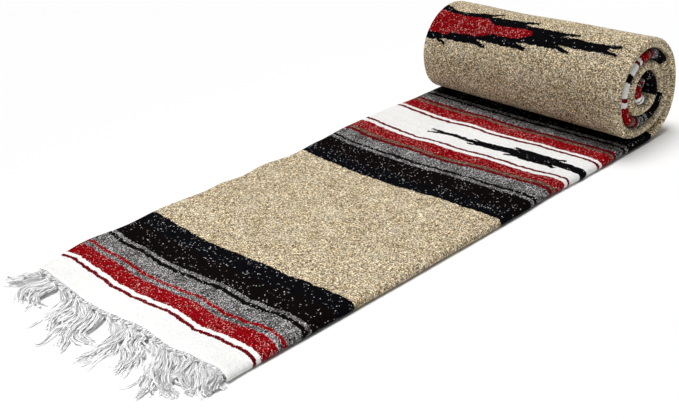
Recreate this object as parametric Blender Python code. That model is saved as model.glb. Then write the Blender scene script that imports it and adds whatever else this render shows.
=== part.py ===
"""A striped serape blanket, folded lengthwise in four, laid out and rolled up from its far hem.

Metres, +Z up. X runs across the folded cloth, Y from the near hem towards the roll. The origin is on
the flat underside, halfway along the laid stretch.
"""
import math
from collections import namedtuple

import bmesh
import bpy
from mathutils import Vector

# Driving dimensions of the folded cloth
FOLDED_WIDTH = 0.320
LAYER = 0.0024
LAYER_GAP = 0.0004
LAYERS = 4
SEAM_GAP = 0.0003
SELVEDGE_ROUND = 0.0010
SELVEDGE_TIP_SHARE = 0.5
SECOND_SELVEDGE_INSET = 0.0020

# Along the right side the outer fold wraps the inner one
OUTER_FOLD_REACH = 0.0058
INNER_FOLD_INSET = 0.0052
OUTER_FOLD_STEPS = 6
TIGHT_FOLD_STEPS = 4

# The laid stretch, then the roll that stands on its own first turn
LAID_LENGTH = 0.6655
ROLL_RADIUS = 0.0685
ROLL_PITCH = 0.0132
ROLL_END = math.radians(1420.0)
ROLL_WIDENING = 1.045
ROLL_SQUARENESS = 2.4
ROLL_TAPER = 0.17
ROLL_SKEW = -0.03
ROLL_FACETS = (20, 18, 16, 12)

# Fringe
STRIP_DEPTH = 0.0030
STRIP_CLEARANCE = 0.0004
STRAND_THICK = 0.0022
STRAND_SIDES = 4
STRAND_STEPS = 6
TIP_SHARE = 0.55
FALL_SHARE = 0.5
KNOT_SHARE = 0.35
KNOT_GATHER = 0.42
FRINGE_SPREAD = 0.03
FLOOR_CLEARANCE = 0.0005
CORE_STRANDS = 20
CORE_STEPS = 7
CORE_CURL = math.radians(280.0)

CLOTH_COLOUR = (0.47, 0.40, 0.31)
FRINGE_COLOUR = (0.86, 0.86, 0.88)
CLOTH_ROUGHNESS = 0.95
FRINGE_ROUGHNESS = 0.90
SHARP_ANGLE = math.radians(50.0)

PACK_PITCH = LAYER + LAYER_GAP
PACK = LAYERS * LAYER + (LAYERS - 1) * LAYER_GAP
LEFT = -FOLDED_WIDTH / 2
RIGHT = FOLDED_WIDTH / 2
HEM_Y = -LAID_LENGTH / 2
ROLL_Y = LAID_LENGTH / 2
MM = 0.001

# How far each edge strays from its straight line, in millimetres, by distance from the near hem
Edge = namedtuple("Edge", "along top second left_fold right_fold")
EDGES = [Edge(*row) for row in (
    (0, 8.0, 5.0, 6.0, -1.5),
    (20, 4.0, 3.0, 3.5, -2.0),
    (67, -4.0, -1.0, -2.0, -1.5),
    (110, 0.0, 2.0, 0.5, -1.0),
    (160, -4.0, -0.5, -2.0, -0.5),
    (222, 1.0, 2.5, 1.0, 0.0),
    (253, -2.5, 0.5, -1.0, 0.0),
    (284, 2.5, 3.0, 1.5, -0.3),
    (315, -1.0, 1.5, 0.0, 0.0),
    (361, 5.0, 4.0, 3.0, 0.0),
    (408, 1.0, 2.0, 1.5, -0.5),
    (470, -6.5, -3.0, -4.0, -2.5),
    (532, -6.0, -3.5, -4.0, -0.5),
    (600, -3.0, -1.5, -2.0, 0.0),
    (665.5, -3.0, -1.0, -2.0, 0.0),
    (780, 1.0, 3.0, 2.0, -1.0),
    (900, 3.0, 4.5, 3.5, 0.0),
    (1020, 1.0, 3.0, 2.5, -1.5),
    (1140, 3.0, 4.5, 3.5, 0.0),
    (1260, 0.0, 2.0, 1.0, -1.5),
    (1380, 2.5, 4.0, 3.0, -0.5),
    (1580, 1.5, 3.0, 2.0, -1.0),
)]

# The weft lies in a shallow bow: shift towards the roll in millimetres, by share of the width
Bow = namedtuple("Bow", "across shift")
BOWS = [Bow(*row) for row in (
    (0.0, 0.0), (0.18, -4.0), (0.36, -6.5), (0.50, -4.5), (0.65, -1.5), (0.80, 1.5), (1.0, 3.0))]
BOW_FADE_START = 0.80

# Knotted bunches of the near fringe: length, and sideways swing of the tips, in millimetres
Bunch = namedtuple("Bunch", "length swing")
BUNCHES = [Bunch(*row) for row in (
    (46, -7.0), (54, -3.0), (64, 3.0), (72, -2.0), (76, 4.0), (64, 0.0), (74, 5.0), (64, 1.0), (52, 7.0))]

# Strands of a bunch: share of its length, and how high the middle rides, in strand thicknesses
Strand = namedtuple("Strand", "length ride")
STRANDS = [Strand(*row) for row in (
    (0.88, 0.6), (1.00, 1.8), (0.94, 1.0), (1.04, 2.1), (0.97, 0.8), (0.90, 1.4))]

# One station of the cloth's middle line: its place, the way its face looks, and its thickness share
Station = namedtuple("Station", "x height face_x face_height share")


def between(rows, key, column, value):
    """A table's column at a value of its key, eased from row to row."""
    for before, after in zip(rows, rows[1:]):
        if value <= getattr(after, key):
            break
    start = getattr(before, key)
    share = min(max((value - start) / (getattr(after, key) - start), 0.0), 1.0)
    eased = share * share * (3.0 - 2.0 * share)
    return getattr(before, column) + (getattr(after, column) - getattr(before, column)) * eased


def edge_shift(edge, along):
    return between(EDGES, "along", edge, along / MM) * MM


def layer_height(layer):
    """Height of a layer's middle above the underside, with layer 0 at the bottom."""
    return LAYER / 2 + layer * PACK_PITCH


def fold_arc(centre_x, centre_height, reach, half_height, first_angle, last_angle, steps):
    """Stations round a half-ellipse fold, between its two ends, with the face outside."""
    stations = []
    for step in range(1, steps):
        angle = math.radians(first_angle + (last_angle - first_angle) * step / steps)
        face = Vector((math.cos(angle) / reach, math.sin(angle) / half_height)).normalized()
        stations.append(Station(
            centre_x + reach * math.cos(angle),
            centre_height + half_height * math.sin(angle),
            face.x, face.y, 1.0))
    return stations


def flat_run(first_x, last_x, height, face, crossings):
    """Stations of a flat layer from one x to another, with one at each crossing between them."""
    low, high = sorted((first_x, last_x))
    inside = sorted((x for x in crossings if low < x < high), reverse=first_x > last_x)
    return [Station(x, height, 0.0, face, 1.0) for x in (first_x, *inside, last_x)]


def cloth_path(along, crossings):
    """Middle line of the cloth across its four layers, from the top selvedge to the second one."""
    bottom, third, second, top = (layer_height(layer) for layer in range(LAYERS))
    top_edge = LEFT + edge_shift("top", along)
    second_edge = LEFT + SECOND_SELVEDGE_INSET + edge_shift("second", along)
    left_tip = LEFT + LAYER / 2 + edge_shift("left_fold", along)
    right_tip = RIGHT - LAYER / 2 + edge_shift("right_fold", along)
    tight = PACK_PITCH / 2
    outer_x = right_tip - OUTER_FOLD_REACH
    inner_x = right_tip - INNER_FOLD_INSET - tight
    left_x = left_tip + tight

    path = [Station(top_edge, top, 0.0, 1.0, SELVEDGE_TIP_SHARE)]
    path += flat_run(top_edge + SELVEDGE_ROUND, outer_x, top, 1.0, crossings)
    path += fold_arc(outer_x, (top + bottom) / 2, OUTER_FOLD_REACH, (top - bottom) / 2,
                     90, -90, OUTER_FOLD_STEPS)
    path += flat_run(outer_x, left_x, bottom, -1.0, crossings)
    path += fold_arc(left_x, (bottom + third) / 2, tight, tight, 270, 90, TIGHT_FOLD_STEPS)
    path += flat_run(left_x, inner_x, third, 1.0, crossings)
    for station in fold_arc(inner_x, (second + third) / 2, tight, tight, -90, 90, TIGHT_FOLD_STEPS):
        path.append(station._replace(face_x=-station.face_x, face_height=-station.face_height))
    path += flat_run(inner_x, second_edge + SELVEDGE_ROUND, second, -1.0, crossings)
    path.append(Station(second_edge, second, 0.0, -1.0, SELVEDGE_TIP_SHARE))
    return path


def laid_point(x, height, along):
    """A point of the laid pack, with the weft's bow and the roll's slight turn taken into it."""
    share = along / LAID_LENGTH
    fade = min(max((1.0 - share) / (1.0 - BOW_FADE_START), 0.0), 1.0)
    bow = between(BOWS, "across", "shift", (x - LEFT) / FOLDED_WIDTH) * MM * fade
    return Vector((x, HEM_Y + along + bow + ROLL_SKEW * x * share * abs(share), height))


def winding_radius(turned):
    return ROLL_RADIUS - ROLL_PITCH * turned / math.tau


def roll_point(x, height, turned):
    """A point of the wound pack: height above the cloth's own underside, turned from the floor.

    The roll sags where it stands, so its lower half is a little squarer than a circle.
    """
    taper = 1.0 + ROLL_TAPER * x
    radius = (winding_radius(turned) - height) * taper
    sine = math.sin(turned)
    cosine = math.cos(turned)
    if cosine > 0.0:
        radius /= (abs(sine) ** ROLL_SQUARENESS + cosine ** ROLL_SQUARENESS) ** (1.0 / ROLL_SQUARENESS)
    return Vector((
        x,
        ROLL_Y + ROLL_SKEW * x + radius * ROLL_WIDENING * sine,
        ROLL_RADIUS * taper - radius * cosine))


def roll_length(turned):
    """Length of the wound pack's middle from the floor up to an angle."""
    return (ROLL_RADIUS - PACK / 2) * turned - ROLL_PITCH * turned * turned / (2.0 * math.tau)


def pack_ring(along, crossings, place):
    """One closed section of the folded cloth: along its face, then home along its back."""
    face = []
    back = []
    for station in cloth_path(along, crossings):
        half = station.share * LAYER / 2
        face.append(place(station.x + station.face_x * half, station.height + station.face_height * half))
        back.append(place(station.x - station.face_x * half, station.height - station.face_height * half))
    return face + back[::-1]


def sweep_rings(mesh, rings):
    """Walls between rings, with both ends closed across the cloth's thickness."""
    loops = [[mesh.verts.new(point) for point in ring] for ring in rings]
    count = len(loops[0])
    for first, second in zip(loops, loops[1:]):
        for index in range(count):
            following = (index + 1) % count
            mesh.faces.new((first[index], first[following], second[following], second[index]))
    for loop in (loops[0], loops[-1]):
        for index in range(count // 2 - 1):
            opposite = count - 1 - index
            mesh.faces.new((loop[index], loop[index + 1], loop[opposite - 1], loop[opposite]))


def add_object(name, mesh, colour, roughness):
    """An object made from a bmesh, shaded round, with its own material."""
    bmesh.ops.recalc_face_normals(mesh, faces=mesh.faces)
    data = bpy.data.meshes.new(name)
    mesh.to_mesh(data)
    mesh.free()
    data.shade_smooth()
    data.set_sharp_from_angle(angle=SHARP_ANGLE)
    made = bpy.data.objects.new(name, data)
    bpy.context.collection.objects.link(made)
    material = bpy.data.materials.new(name)
    material.use_nodes = True
    shader = material.node_tree.nodes["Principled BSDF"]
    shader.inputs["Base Color"].default_value = (*colour, 1.0)
    shader.inputs["Roughness"].default_value = roughness
    shader.inputs["Metallic"].default_value = 0.0
    data.materials.append(material)
    return made


def make_laid_stretch():
    """The four layers laid flat, from the near hem to the line where the roll leaves the floor."""
    crossings = [LEFT + bow.across * FOLDED_WIDTH for bow in BOWS[1:-1]]
    rings = []
    for edge in EDGES:
        along = edge.along * MM
        if along <= LAID_LENGTH:
            rings.append(pack_ring(along, crossings, lambda x, height: laid_point(x, height, along)))
    mesh = bmesh.new()
    sweep_rings(mesh, rings)
    return add_object("serape_laid", mesh, CLOTH_COLOUR, CLOTH_ROUGHNESS)


def make_rolled_stretch():
    """The same four layers wound up, each turn lying just clear of the one outside it."""
    angles = [SEAM_GAP / winding_radius(0.0)]
    for turn, facets in enumerate(ROLL_FACETS):
        angles += [math.tau * (turn + facet / facets) for facet in range(1, facets + 1)]
    angles = [angle for angle in angles if angle < ROLL_END] + [ROLL_END]
    rings = []
    for turned in angles:
        along = LAID_LENGTH + roll_length(turned)
        rings.append(pack_ring(along, (), lambda x, height: roll_point(x, height, turned)))
    mesh = bmesh.new()
    sweep_rings(mesh, rings)
    return add_object("serape_rolled", mesh, CLOTH_COLOUR, CLOTH_ROUGHNESS)


def add_strand(mesh, points):
    """A closed four-sided strand along its points, thinner at its tip."""
    loops = []
    for index, point in enumerate(points):
        before = points[max(index - 1, 0)]
        after = points[min(index + 1, len(points) - 1)]
        direction = (after - before).normalized()
        side = (Vector((1.0, 0.0, 0.0)) - direction * direction.x).normalized()
        rise = side.cross(direction)
        share = 1.0 + (TIP_SHARE - 1.0) * index / (len(points) - 1)
        corner_reach = STRAND_THICK / math.sqrt(2.0) * share
        loop = []
        for corner in range(STRAND_SIDES):
            angle = math.tau * (corner + 0.5) / STRAND_SIDES
            offset = side * math.cos(angle) + rise * math.sin(angle)
            loop.append(mesh.verts.new(point + offset * corner_reach))
        loops.append(loop)
    for first, second in zip(loops, loops[1:]):
        for corner in range(STRAND_SIDES):
            following = (corner + 1) % STRAND_SIDES
            mesh.faces.new((first[corner], first[following], second[following], second[corner]))
    mesh.faces.new(loops[0])
    mesh.faces.new(loops[-1])


def make_fringe(name, strands, crossings, place, near, far):
    """Strands rooted as one body in a narrow bar that lies just clear of the cloth's cut edge."""
    low = STRIP_CLEARANCE
    high = PACK - STRIP_CLEARANCE
    bar = bmesh.new()
    loops = []
    for x in crossings:
        section = ((low, near), (high, near), (high, far), (low, far))
        loops.append([bar.verts.new(place(x, height, along)) for height, along in section])
    for first, second in zip(loops, loops[1:]):
        for corner in range(len(first)):
            following = (corner + 1) % len(first)
            bar.faces.new((first[corner], first[following], second[following], second[corner]))
    bar.faces.new(loops[0])
    bar.faces.new(loops[-1])
    strip = add_object(name, bar, FRINGE_COLOUR, FRINGE_ROUGHNESS)

    mesh = bmesh.new()
    for points in strands:
        add_strand(mesh, points)
    guide = add_object(name + "_strands", mesh, FRINGE_COLOUR, FRINGE_ROUGHNESS)
    guide.hide_render = True
    guide.display_type = "WIRE"
    union = strip.modifiers.new("rooted strands", "BOOLEAN")
    union.operation = "UNION"
    union.object = guide
    return strip


def near_strand(left, lane, bunch_index, strand_index):
    """A loose warp end: out of its layer, down to the floor, drawn into its knot and out again."""
    bunch = BUNCHES[bunch_index]
    strand = STRANDS[strand_index]
    root_x = left + lane * (bunch_index * len(STRANDS) + strand_index + 0.5)
    knot_x = left + lane * len(STRANDS) * (bunch_index + 0.5)
    root_height = layer_height((bunch_index + strand_index) % LAYERS)
    floor_height = STRAND_THICK / 2 + FLOOR_CLEARANCE
    points = []
    for step in range(STRAND_STEPS + 1):
        part = step / STRAND_STEPS
        fallen = min(part / FALL_SHARE, 1.0)
        fallen = fallen * fallen * (3.0 - 2.0 * fallen)
        past_knot = (part - KNOT_SHARE) / KNOT_SHARE
        gather = KNOT_GATHER * math.exp(-past_knot * past_knot) * min(part / KNOT_SHARE, 1.0)
        x = root_x + (knot_x - root_x) * gather
        x += bunch.swing * MM * part * part + root_x * FRINGE_SPREAD * part
        along = -SEAM_GAP - STRIP_DEPTH / 2 - bunch.length * strand.length * MM * part
        height = root_height + (floor_height - root_height) * fallen
        height += strand.ride * STRAND_THICK * math.sin(math.pi * part) ** 2
        points.append(laid_point(x, height, along))
    return points


def make_near_fringe():
    """Knotted warp ends along the near hem."""
    left = LEFT + edge_shift("top", 0.0)
    right = RIGHT + edge_shift("right_fold", 0.0) - OUTER_FOLD_REACH
    lane = (right - left) / (len(BUNCHES) * len(STRANDS))
    strands = []
    for bunch_index in range(len(BUNCHES)):
        for strand_index in range(len(STRANDS)):
            strands.append(near_strand(left, lane, bunch_index, strand_index))
    inside = [LEFT + bow.across * FOLDED_WIDTH for bow in BOWS[1:-1]]
    return make_fringe("fringe_near", strands, (left, *inside, right), laid_point,
                       -SEAM_GAP - STRIP_DEPTH, -SEAM_GAP)


def make_far_fringe():
    """The far hem's warp ends, curled on along the winding inside the roll's core."""
    half_width = RIGHT - 2.0 * OUTER_FOLD_REACH
    near = ROLL_END + SEAM_GAP / (winding_radius(ROLL_END) - PACK)
    far = near + STRIP_DEPTH / (winding_radius(ROLL_END) - PACK / 2)
    strands = []
    for index in range(CORE_STRANDS):
        x = half_width * (2.0 * (index + 0.5) / CORE_STRANDS - 1.0)
        height = layer_height(1 + index % 2)
        turns = [(near + far) / 2 + CORE_CURL * step / CORE_STEPS for step in range(CORE_STEPS + 1)]
        strands.append([roll_point(x, height, turned) for turned in turns])
    return make_fringe("fringe_far", strands, (-half_width, half_width), roll_point, near, far)


for old in list(bpy.data.objects):
    bpy.data.objects.remove(old, do_unlink=True)

serape = bpy.data.objects.new("serape", None)
bpy.context.collection.objects.link(serape)
for piece in (make_laid_stretch(), make_rolled_stretch(), make_near_fringe(), make_far_fringe()):
    piece.parent = serape
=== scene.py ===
"""A striped serape blanket, folded in four, laid out and rolled up from its far hem."""
import math
import random

import bpy
import numpy as np
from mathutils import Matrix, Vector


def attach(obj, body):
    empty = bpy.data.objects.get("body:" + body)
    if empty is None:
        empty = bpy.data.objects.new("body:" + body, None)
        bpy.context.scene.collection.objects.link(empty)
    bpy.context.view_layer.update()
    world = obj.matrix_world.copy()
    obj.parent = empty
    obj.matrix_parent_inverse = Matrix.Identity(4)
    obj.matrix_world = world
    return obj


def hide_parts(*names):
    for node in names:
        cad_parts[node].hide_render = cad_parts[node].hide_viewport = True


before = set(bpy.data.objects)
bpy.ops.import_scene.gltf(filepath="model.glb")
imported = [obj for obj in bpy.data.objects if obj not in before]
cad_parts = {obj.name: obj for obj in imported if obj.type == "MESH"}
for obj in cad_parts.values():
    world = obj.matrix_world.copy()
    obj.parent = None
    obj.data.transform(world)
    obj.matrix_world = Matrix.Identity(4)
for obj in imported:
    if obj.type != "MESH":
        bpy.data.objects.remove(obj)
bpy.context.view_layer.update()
root = "root"


# Laid stretch
# A hand-loomed panel of thick cotton and acrylic weft, about 1.27 m wide, folded lengthwise in four.
# It lies flat with both selvedges and one fold on its left, and two folds on its right. It isn't sewn.
MM = 0.001
PANEL_WIDTH = 1.268
PANEL_LENGTH = 1.584
FOLDED_WIDTH = 0.320
LEFT = -FOLDED_WIDTH / 2
RIGHT = FOLDED_WIDTH / 2
LAYER = 0.0024
PACK_PITCH = 0.0028
PACK = 0.0108
LAYER_HEIGHTS = [LAYER / 2 + layer * PACK_PITCH for layer in range(4)]
LAID_LENGTH = 0.6655
HEM_Y = -LAID_LENGTH / 2
ROLL_SKEW = -0.03
ROLL_TAPER = 0.17
SECOND_SELVEDGE_INSET = 0.0020
OUTER_FOLD_REACH = 0.0058
INNER_FOLD_INSET = 0.0052
OUTER_FOLD_STEPS = 13
TIGHT_FOLD_STEPS = 7

# How far each edge strays, in millimetres: distance from the hem, then the top selvedge,
# the second selvedge, the left fold and the right fold
EDGES = (
    (0, 8.0, 5.0, 6.0, -1.5),
    (20, 4.0, 3.0, 3.5, -2.0),
    (67, -4.0, -1.0, -2.0, -1.5),
    (110, 0.0, 2.0, 0.5, -1.0),
    (160, -4.0, -0.5, -2.0, -0.5),
    (222, 1.0, 2.5, 1.0, 0.0),
    (253, -2.5, 0.5, -1.0, 0.0),
    (284, 2.5, 3.0, 1.5, -0.3),
    (315, -1.0, 1.5, 0.0, 0.0),
    (361, 5.0, 4.0, 3.0, 0.0),
    (408, 1.0, 2.0, 1.5, -0.5),
    (470, -6.5, -3.0, -4.0, -2.5),
    (532, -6.0, -3.5, -4.0, -0.5),
    (600, -3.0, -1.5, -2.0, 0.0),
    (665.5, -3.0, -1.0, -2.0, 0.0),
    (780, 1.0, 3.0, 2.0, -1.0),
    (900, 3.0, 4.5, 3.5, 0.0),
    (1020, 1.0, 3.0, 2.5, -1.5),
    (1140, 3.0, 4.5, 3.5, 0.0),
    (1260, 0.0, 2.0, 1.0, -1.5),
    (1380, 2.5, 4.0, 3.0, -0.5),
    (1580, 1.5, 3.0, 2.0, -1.0),
)

# The weft lies in a shallow bow: share of the width, and shift towards the roll in millimetres
BOWS = ((0.0, 0.0), (0.18, -5.0), (0.36, -8.5), (0.50, -6.0), (0.65, -2.0), (0.80, 1.5), (1.0, 3.0))
BOW_FADE_START = 0.80

# The hem and the selvedges are rounded: distance from the edge, and share of the full thickness
HEM_ROUND = ((0.0, 0.42), (0.0005, 0.78), (0.0012, 1.0))
SELVEDGE_ROUND = ((0.0, 0.34), (0.0003, 0.68), (0.0008, 0.93), (0.0014, 1.0))

# Slow waves of the weft and of the whole cloth: length across, length along and phase
WANDER = 0.0008
WANDER_WAVES = ((0.046, 0.9, 0.4), (-0.083, 0.5, 1.9), (0.031, -0.7, 4.0))
RUMPLE = 0.0010
RUMPLE_WAVES = ((0.26, 0.11, 0.3), (-0.21, 0.17, 2.2), (0.13, -0.36, 4.4))

# Where the weft was beaten out of line: distance from the hem and reach,
# then shares of the width, each with its shift in millimetres
PULLS = (
    (0.0, 0.110, (
        (0.0, -5.0), (0.06, 0.5), (0.13, 2.0), (0.25, 0.0), (0.45, 0.0), (0.60, 2.0), (0.68, -2.0),
        (0.76, -6.5), (0.84, -2.5), (0.92, 0.0), (1.0, -4.0))),
    (0.090, 0.035, (
        (0.0, 2.0), (0.08, -3.5), (0.19, 0.0), (0.31, 0.0), (0.52, 1.3), (0.69, 1.0), (0.78, 0.0),
        (0.82, -2.0), (0.875, 2.0), (0.94, 0.5), (1.0, 0.0))),
    (0.440, 0.016, (
        (0.0, -1.5), (0.12, -1.0), (0.31, 2.0), (0.42, 0.0), (0.56, 4.0), (0.68, 2.0), (0.80, 0.5),
        (0.95, 3.0), (1.0, 2.0))),
    (0.470, 0.018, (
        (0.0, 0.0), (0.20, 0.0), (0.31, 1.5), (0.42, -2.0), (0.56, 0.5), (0.68, 4.0), (0.80, 5.0),
        (0.95, 6.5), (1.0, 5.0))),
    (0.500, 0.014, (
        (0.0, 0.0), (0.40, 0.0), (0.50, 1.0), (0.62, 1.5), (0.72, 0.0), (0.86, -1.5), (0.95, 1.5),
        (1.0, 1.0))),
    (0.530, 0.100, (
        (0.0, -0.5), (0.28, -0.5), (0.38, 4.5), (0.48, 0.0), (0.60, 0.0), (0.68, 2.5), (0.76, -0.5),
        (0.92, 1.5), (1.0, 0.0))),
    (0.575, 0.040, (
        (0.0, 0.0), (0.12, -1.5), (0.22, -2.0), (0.31, 0.5), (0.41, 3.0), (0.47, 2.5), (0.56, -1.0),
        (0.63, -1.5), (0.75, 3.0), (0.84, 1.5), (0.94, 2.5), (1.0, 1.0))),
)
PULL_EDGE = 6


def eased(rows, column, places):
    """A column of a charted table at places along its first column, eased from row to row."""
    table = np.array(rows, float)
    marks = table[:, 0]
    values = table[:, column]
    after = np.clip(np.searchsorted(marks, places), 1, len(marks) - 1)
    share = np.clip((places - marks[after - 1]) / (marks[after] - marks[after - 1]), 0.0, 1.0)
    share = share * share * (3.0 - 2.0 * share)
    return values[after - 1] + (values[after] - values[after - 1]) * share


def flat_run(first_x, last_x, height, face, count):
    """Stations of a flat layer: x, height, the way its face looks, and its thickness share."""
    run = np.zeros((count, 5))
    run[:, 0] = np.linspace(first_x, last_x, count)
    run[:, 1] = height
    run[:, 3] = face
    run[:, 4] = 1.0
    return run


def fold_arc(centre_x, centre_height, reach, half_height, first_angle, last_angle, steps, outward=1.0):
    """Stations round a half-ellipse fold, between its two ends."""
    angles = np.radians(np.linspace(first_angle, last_angle, steps + 1)[1:-1])
    face = np.stack([np.cos(angles) / reach, np.sin(angles) / half_height], 1)
    face *= outward / np.linalg.norm(face, axis=1, keepdims=True)
    return np.column_stack([
        centre_x + reach * np.cos(angles),
        centre_height + half_height * np.sin(angles),
        face, np.ones(len(angles))])


def selvedge_run(edge_x, height, face):
    """The woven edge, rounded from its tip to the cloth's full thickness."""
    run = flat_run(edge_x, edge_x, height, face, len(SELVEDGE_ROUND))
    run[:, 0] += [inset for inset, _ in SELVEDGE_ROUND]
    run[:, 4] = [share for _, share in SELVEDGE_ROUND]
    return run


def cloth_path(shifts, counts):
    """Middle line of the cloth through its four layers, from the top selvedge to the second one."""
    bottom, third, second, top = LAYER_HEIGHTS
    top_count, bottom_count, third_count, second_count = counts
    top_shift, second_shift, left_shift, right_shift = shifts
    left_tip = LEFT + LAYER / 2 + left_shift
    right_tip = RIGHT - LAYER / 2 + right_shift
    tight = PACK_PITCH / 2
    outer_x = right_tip - OUTER_FOLD_REACH
    inner_x = right_tip - INNER_FOLD_INSET - tight
    left_x = left_tip + tight
    top_edge = selvedge_run(LEFT + top_shift, top, 1.0)
    second_edge = selvedge_run(LEFT + SECOND_SELVEDGE_INSET + second_shift, second, -1.0)[::-1]
    middle = (top + bottom) / 2
    return np.concatenate([
        top_edge,
        flat_run(top_edge[-1, 0] + MM, outer_x, top, 1.0, top_count),
        fold_arc(outer_x, middle, OUTER_FOLD_REACH, middle - bottom, 90, -90, OUTER_FOLD_STEPS),
        flat_run(outer_x, left_x, bottom, -1.0, bottom_count),
        fold_arc(left_x, (bottom + third) / 2, tight, tight, 270, 90, TIGHT_FOLD_STEPS),
        flat_run(left_x, inner_x, third, 1.0, third_count),
        fold_arc(inner_x, (second + third) / 2, tight, tight, -90, 90, TIGHT_FOLD_STEPS, outward=-1.0),
        flat_run(inner_x, second_edge[0, 0] + MM, second, -1.0, second_count),
        second_edge])


def smooth_waves(x, y, waves):
    """A sum of slow waves, from -1 to 1: each is a length along x, a length along y and a phase."""
    total = 0.0
    for along_x, along_y, phase in waves:
        total = total + np.sin(math.tau * (x / along_x + y / along_y) + phase)
    return total / len(waves)


def laid_points(x, height, along):
    """Points of the laid cloth, with the weft's bow, its wander and the cloth's slight rumples."""
    share = along / LAID_LENGTH
    fade = np.clip((1.0 - share) / (1.0 - BOW_FADE_START), 0.0, 1.0)
    across = (x - LEFT) / FOLDED_WIDTH
    bow = eased(BOWS, 1, across) * MM
    for middle, reach, rows in PULLS:
        bow = bow + eased(rows, 1, across) * MM / (1.0 + ((along - middle) / reach) ** PULL_EDGE)
    bow = bow + WANDER * smooth_waves(x, along, WANDER_WAVES)
    y = HEM_Y + along + bow * fade + ROLL_SKEW * x * share * np.abs(share)
    rumple = smooth_waves(x, along, RUMPLE_WAVES)
    lift = 1.0 + (RUMPLE / PACK) * rumple * fade + ROLL_TAPER * x * share ** 4
    return np.stack(np.broadcast_arrays(x, y, height * lift), -1)


def thickness_rings(path, thickness_share, place):
    """One closed section: along the cloth's face, then home along its back."""
    half = path[:, 4] * LAYER / 2 * thickness_share
    face = place(path[:, 0] + path[:, 2] * half, path[:, 1] + path[:, 3] * half)
    back = place(path[:, 0] - path[:, 2] * half, path[:, 1] - path[:, 3] * half)
    return np.concatenate([face, back[::-1]])


def new_object(name, data):
    """A new object in the scene, at its origin."""
    made = bpy.data.objects.new(name, data)
    bpy.context.scene.collection.objects.link(made)
    return made


def cloth_object(name, rings, across, alongs):
    """A closed cloth from its sections, with a weave map in metres across and along the panel."""
    rows, count, _ = rings.shape
    index = np.arange(rows * count).reshape(rows, count)
    following = np.roll(index, -1, axis=1)
    walls = np.stack([index[:-1], following[:-1], following[1:], index[1:]], -1).reshape(-1, 4)
    half = count // 2
    first = np.arange(half - 1)
    cap = np.stack([first + 1, first, count - 1 - first, count - 2 - first], -1)
    faces = np.concatenate([walls, index[0][cap], index[-1][cap[:, ::-1]]])
    mesh = bpy.data.meshes.new(name)
    mesh.from_pydata(rings.reshape(-1, 3).tolist(), [], faces.tolist())
    corners = faces.ravel()
    weave = np.stack(np.broadcast_arrays(np.concatenate([across, across[::-1]])[None, :],
                                         alongs[:, None]), -1).reshape(-1, 2)
    mesh.uv_layers.new(name="weave").data.foreach_set("uv", weave[corners].ravel())
    mesh.shade_smooth()
    return new_object(name, mesh)


def edge_shifts(along):
    """How far the two selvedges and the two sides' folds stray at a place along the panel."""
    return [eased(EDGES, column, along / MM) * MM for column in (1, 2, 3, 4)]


def hem_share(distance):
    """Share of the cloth's full thickness at a distance from its cut end."""
    return float(np.interp(distance, *zip(*HEM_ROUND)))


def across_of(counts):
    """Distance across the flat panel from the top selvedge to each station."""
    path = cloth_path((0.0, 0.0, 0.0, 0.0), counts)
    steps = np.linalg.norm(np.diff(path[:, :2], axis=0), axis=1)
    return np.concatenate([[0.0], np.cumsum(steps)])


# Stations across the top, bottom, third and second layers, and the step along the cloth
LAID_COUNTS = (104, 18, 8, 10)
LAID_STEP = 0.0031
laid_alongs = np.concatenate([
    [distance for distance, _ in HEM_ROUND],
    np.linspace(HEM_ROUND[-1][0], LAID_LENGTH, round(LAID_LENGTH / LAID_STEP))[1:]])
laid_rings = []
for along in laid_alongs:
    path = cloth_path(edge_shifts(along), LAID_COUNTS)
    laid_rings.append(thickness_rings(
        path, hem_share(along), lambda x, height: laid_points(x, height, along)))
laid_cloth = cloth_object("serape_laid_cloth", np.array(laid_rings), across_of(LAID_COUNTS), laid_alongs)

# The weave: floats of weft over the warps, in two sets that change places from warp to warp
WARP_PITCH = 0.0014
WEFT_PITCH = 0.00092
WEFT_WOBBLE = 0.0026
EDGE_TEETH = 0.0052

# Slow noise: waves in each metre across and along the panel, and a seed
WOBBLE_NOISE = (22.0, 9.0, 3.0)
TEETH_NOISE = (150.0, 70.0, 5.0)
BATCH_NOISE = (9.0, 16.0, 7.0)
GATHER_NOISE = (34.0, 40.0, 11.0)

# How the dye varies from one pick of weft to the next and from batch to batch
PICK_TONE = 0.07
BATCH_TONE = 0.22

# A float of weft: how bluntly it ends and how round it is, the painted shade in its pits and the painted
# light over its back, and how unevenly the floats stand up
END_BLUNTNESS = 4.0
BACK_ROUNDNESS = 2.0
PAINTED_PIT_SHADE = 0.86
PAINTED_BACK_LIGHT = 0.30
FLOAT_RELIEF = 0.5

# Light flecks: how they gather in places and are fewest in others, then the least length and strength
# of one, with the range of each
FLECK_GATHERING = 4.0
FEWEST_FLECKS = 0.1
FLECK_REACH = 0.2
FLECK_REACH_RANGE = 0.25
FLECK_STRENGTH = 0.15
FLECK_STRENGTH_RANGE = 0.85
FLECK_FAINTNESS = 1.6

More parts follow.
